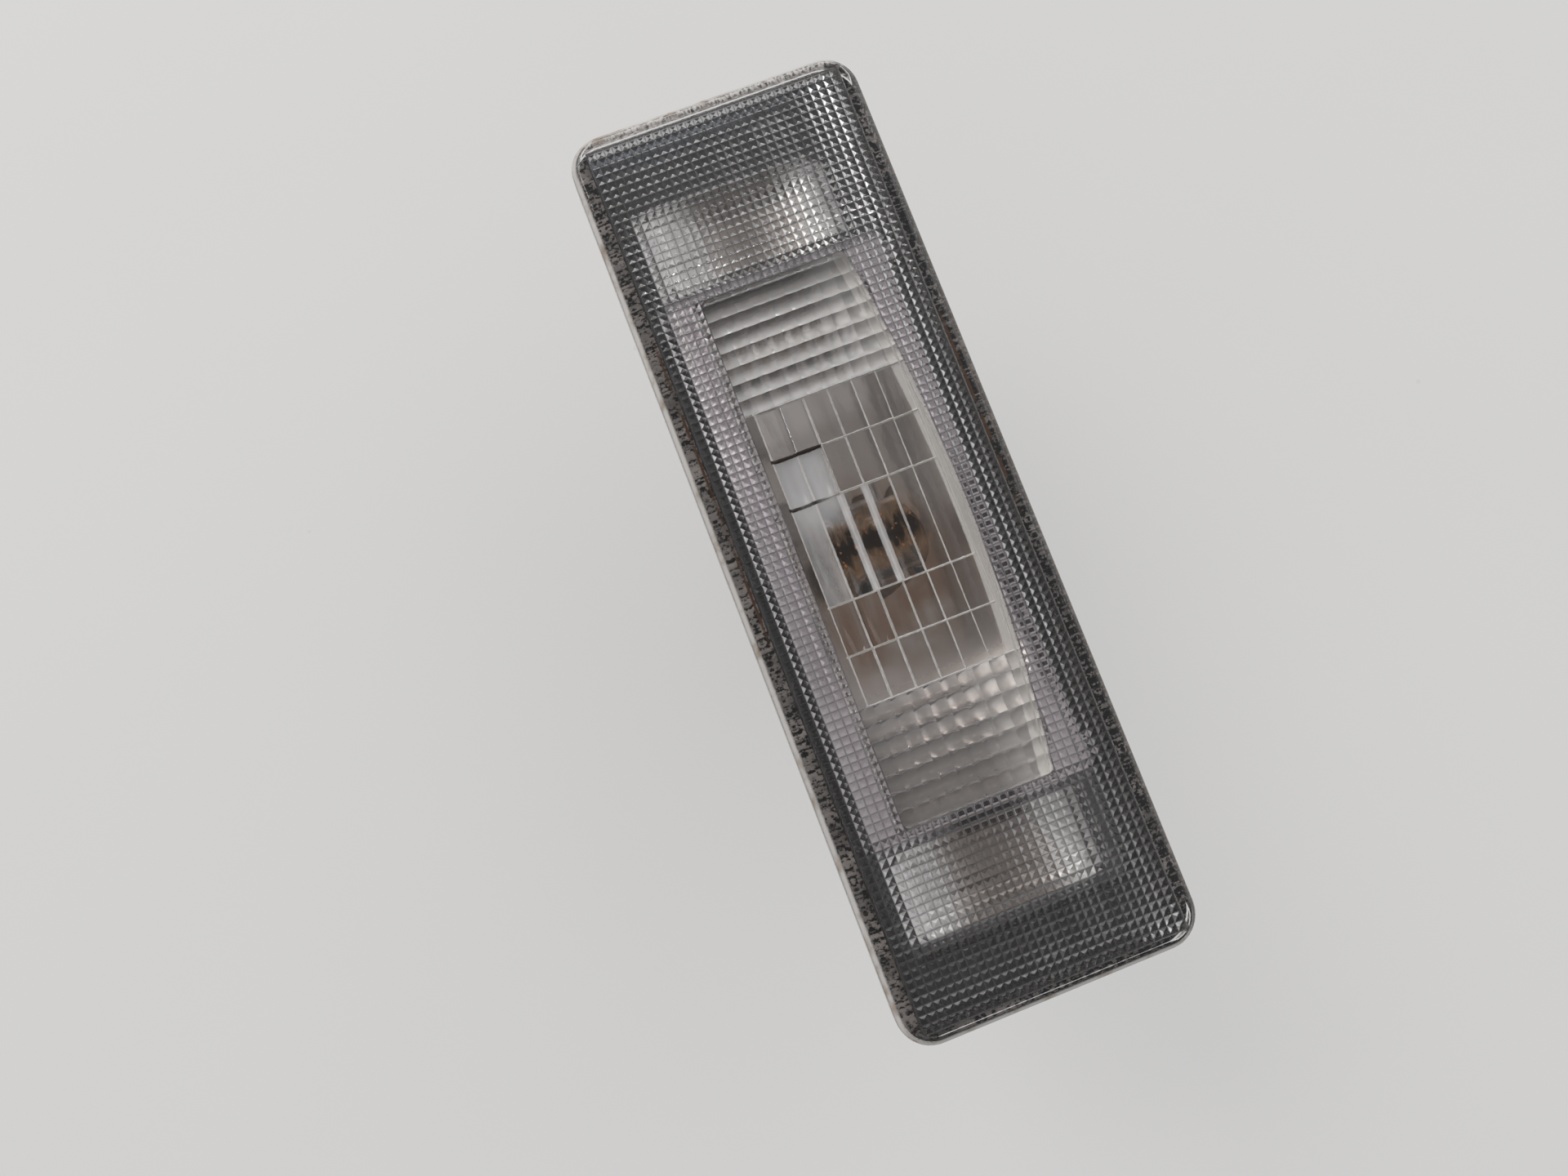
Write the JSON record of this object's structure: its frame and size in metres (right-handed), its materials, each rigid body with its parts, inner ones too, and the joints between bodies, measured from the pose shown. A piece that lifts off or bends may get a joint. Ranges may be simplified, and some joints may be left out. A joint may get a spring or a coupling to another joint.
{
  "type": "number plate lamp",
  "caption": "Snap-in number plate lamp: clear prism lens with a thick optic window, metallised reflector, wedge bulb and twist-in holder with a plug socket.",
  "frame": {"origin": "middle of the lens, on the plane of the panel's outer face, where the gasket's underside sits", "axes": "+X along the lamp from the hook to the spring clip, +Y across it towards the bowed side of the window, +Z out of the lens"},
  "size_m": [0.1086, 0.0352, 0.048],
  "materials": {
    "clear_plastic": "clear and polished",
    "seal_rubber": "matt black",
    "housing_plastic": "fine moulded grain",
    "metallised_plastic": "bright metallised, a little dull with age",
    "bulb_glass": "clear",
    "filament_metal": "dull grey wire",
    "wire_metal": "drawn wire",
    "holder_plastic": "fine moulded grain",
    "contact_brass": "stamped strip",
    "clip_steel": "bent spring strip",
    "gasket_foam": "closed-cell foam"
  },
  "bodies": {
    "root": {"lens": "clear_plastic", "lens_seal": "seal_rubber", "housing": "housing_plastic", "reflector": "metallised_plastic", "bulb_glass": "bulb_glass", "bulb_filament": "filament_metal", "bulb_wire_left": "wire_metal", "bulb_wire_right": "wire_metal", "bulb_holder": "holder_plastic", "contact_left": "contact_brass", "contact_right": "contact_brass", "holder_seal": "seal_rubber", "spring_clip": "clip_steel", "panel_gasket": "gasket_foam"}
  },
  "joints": []
}
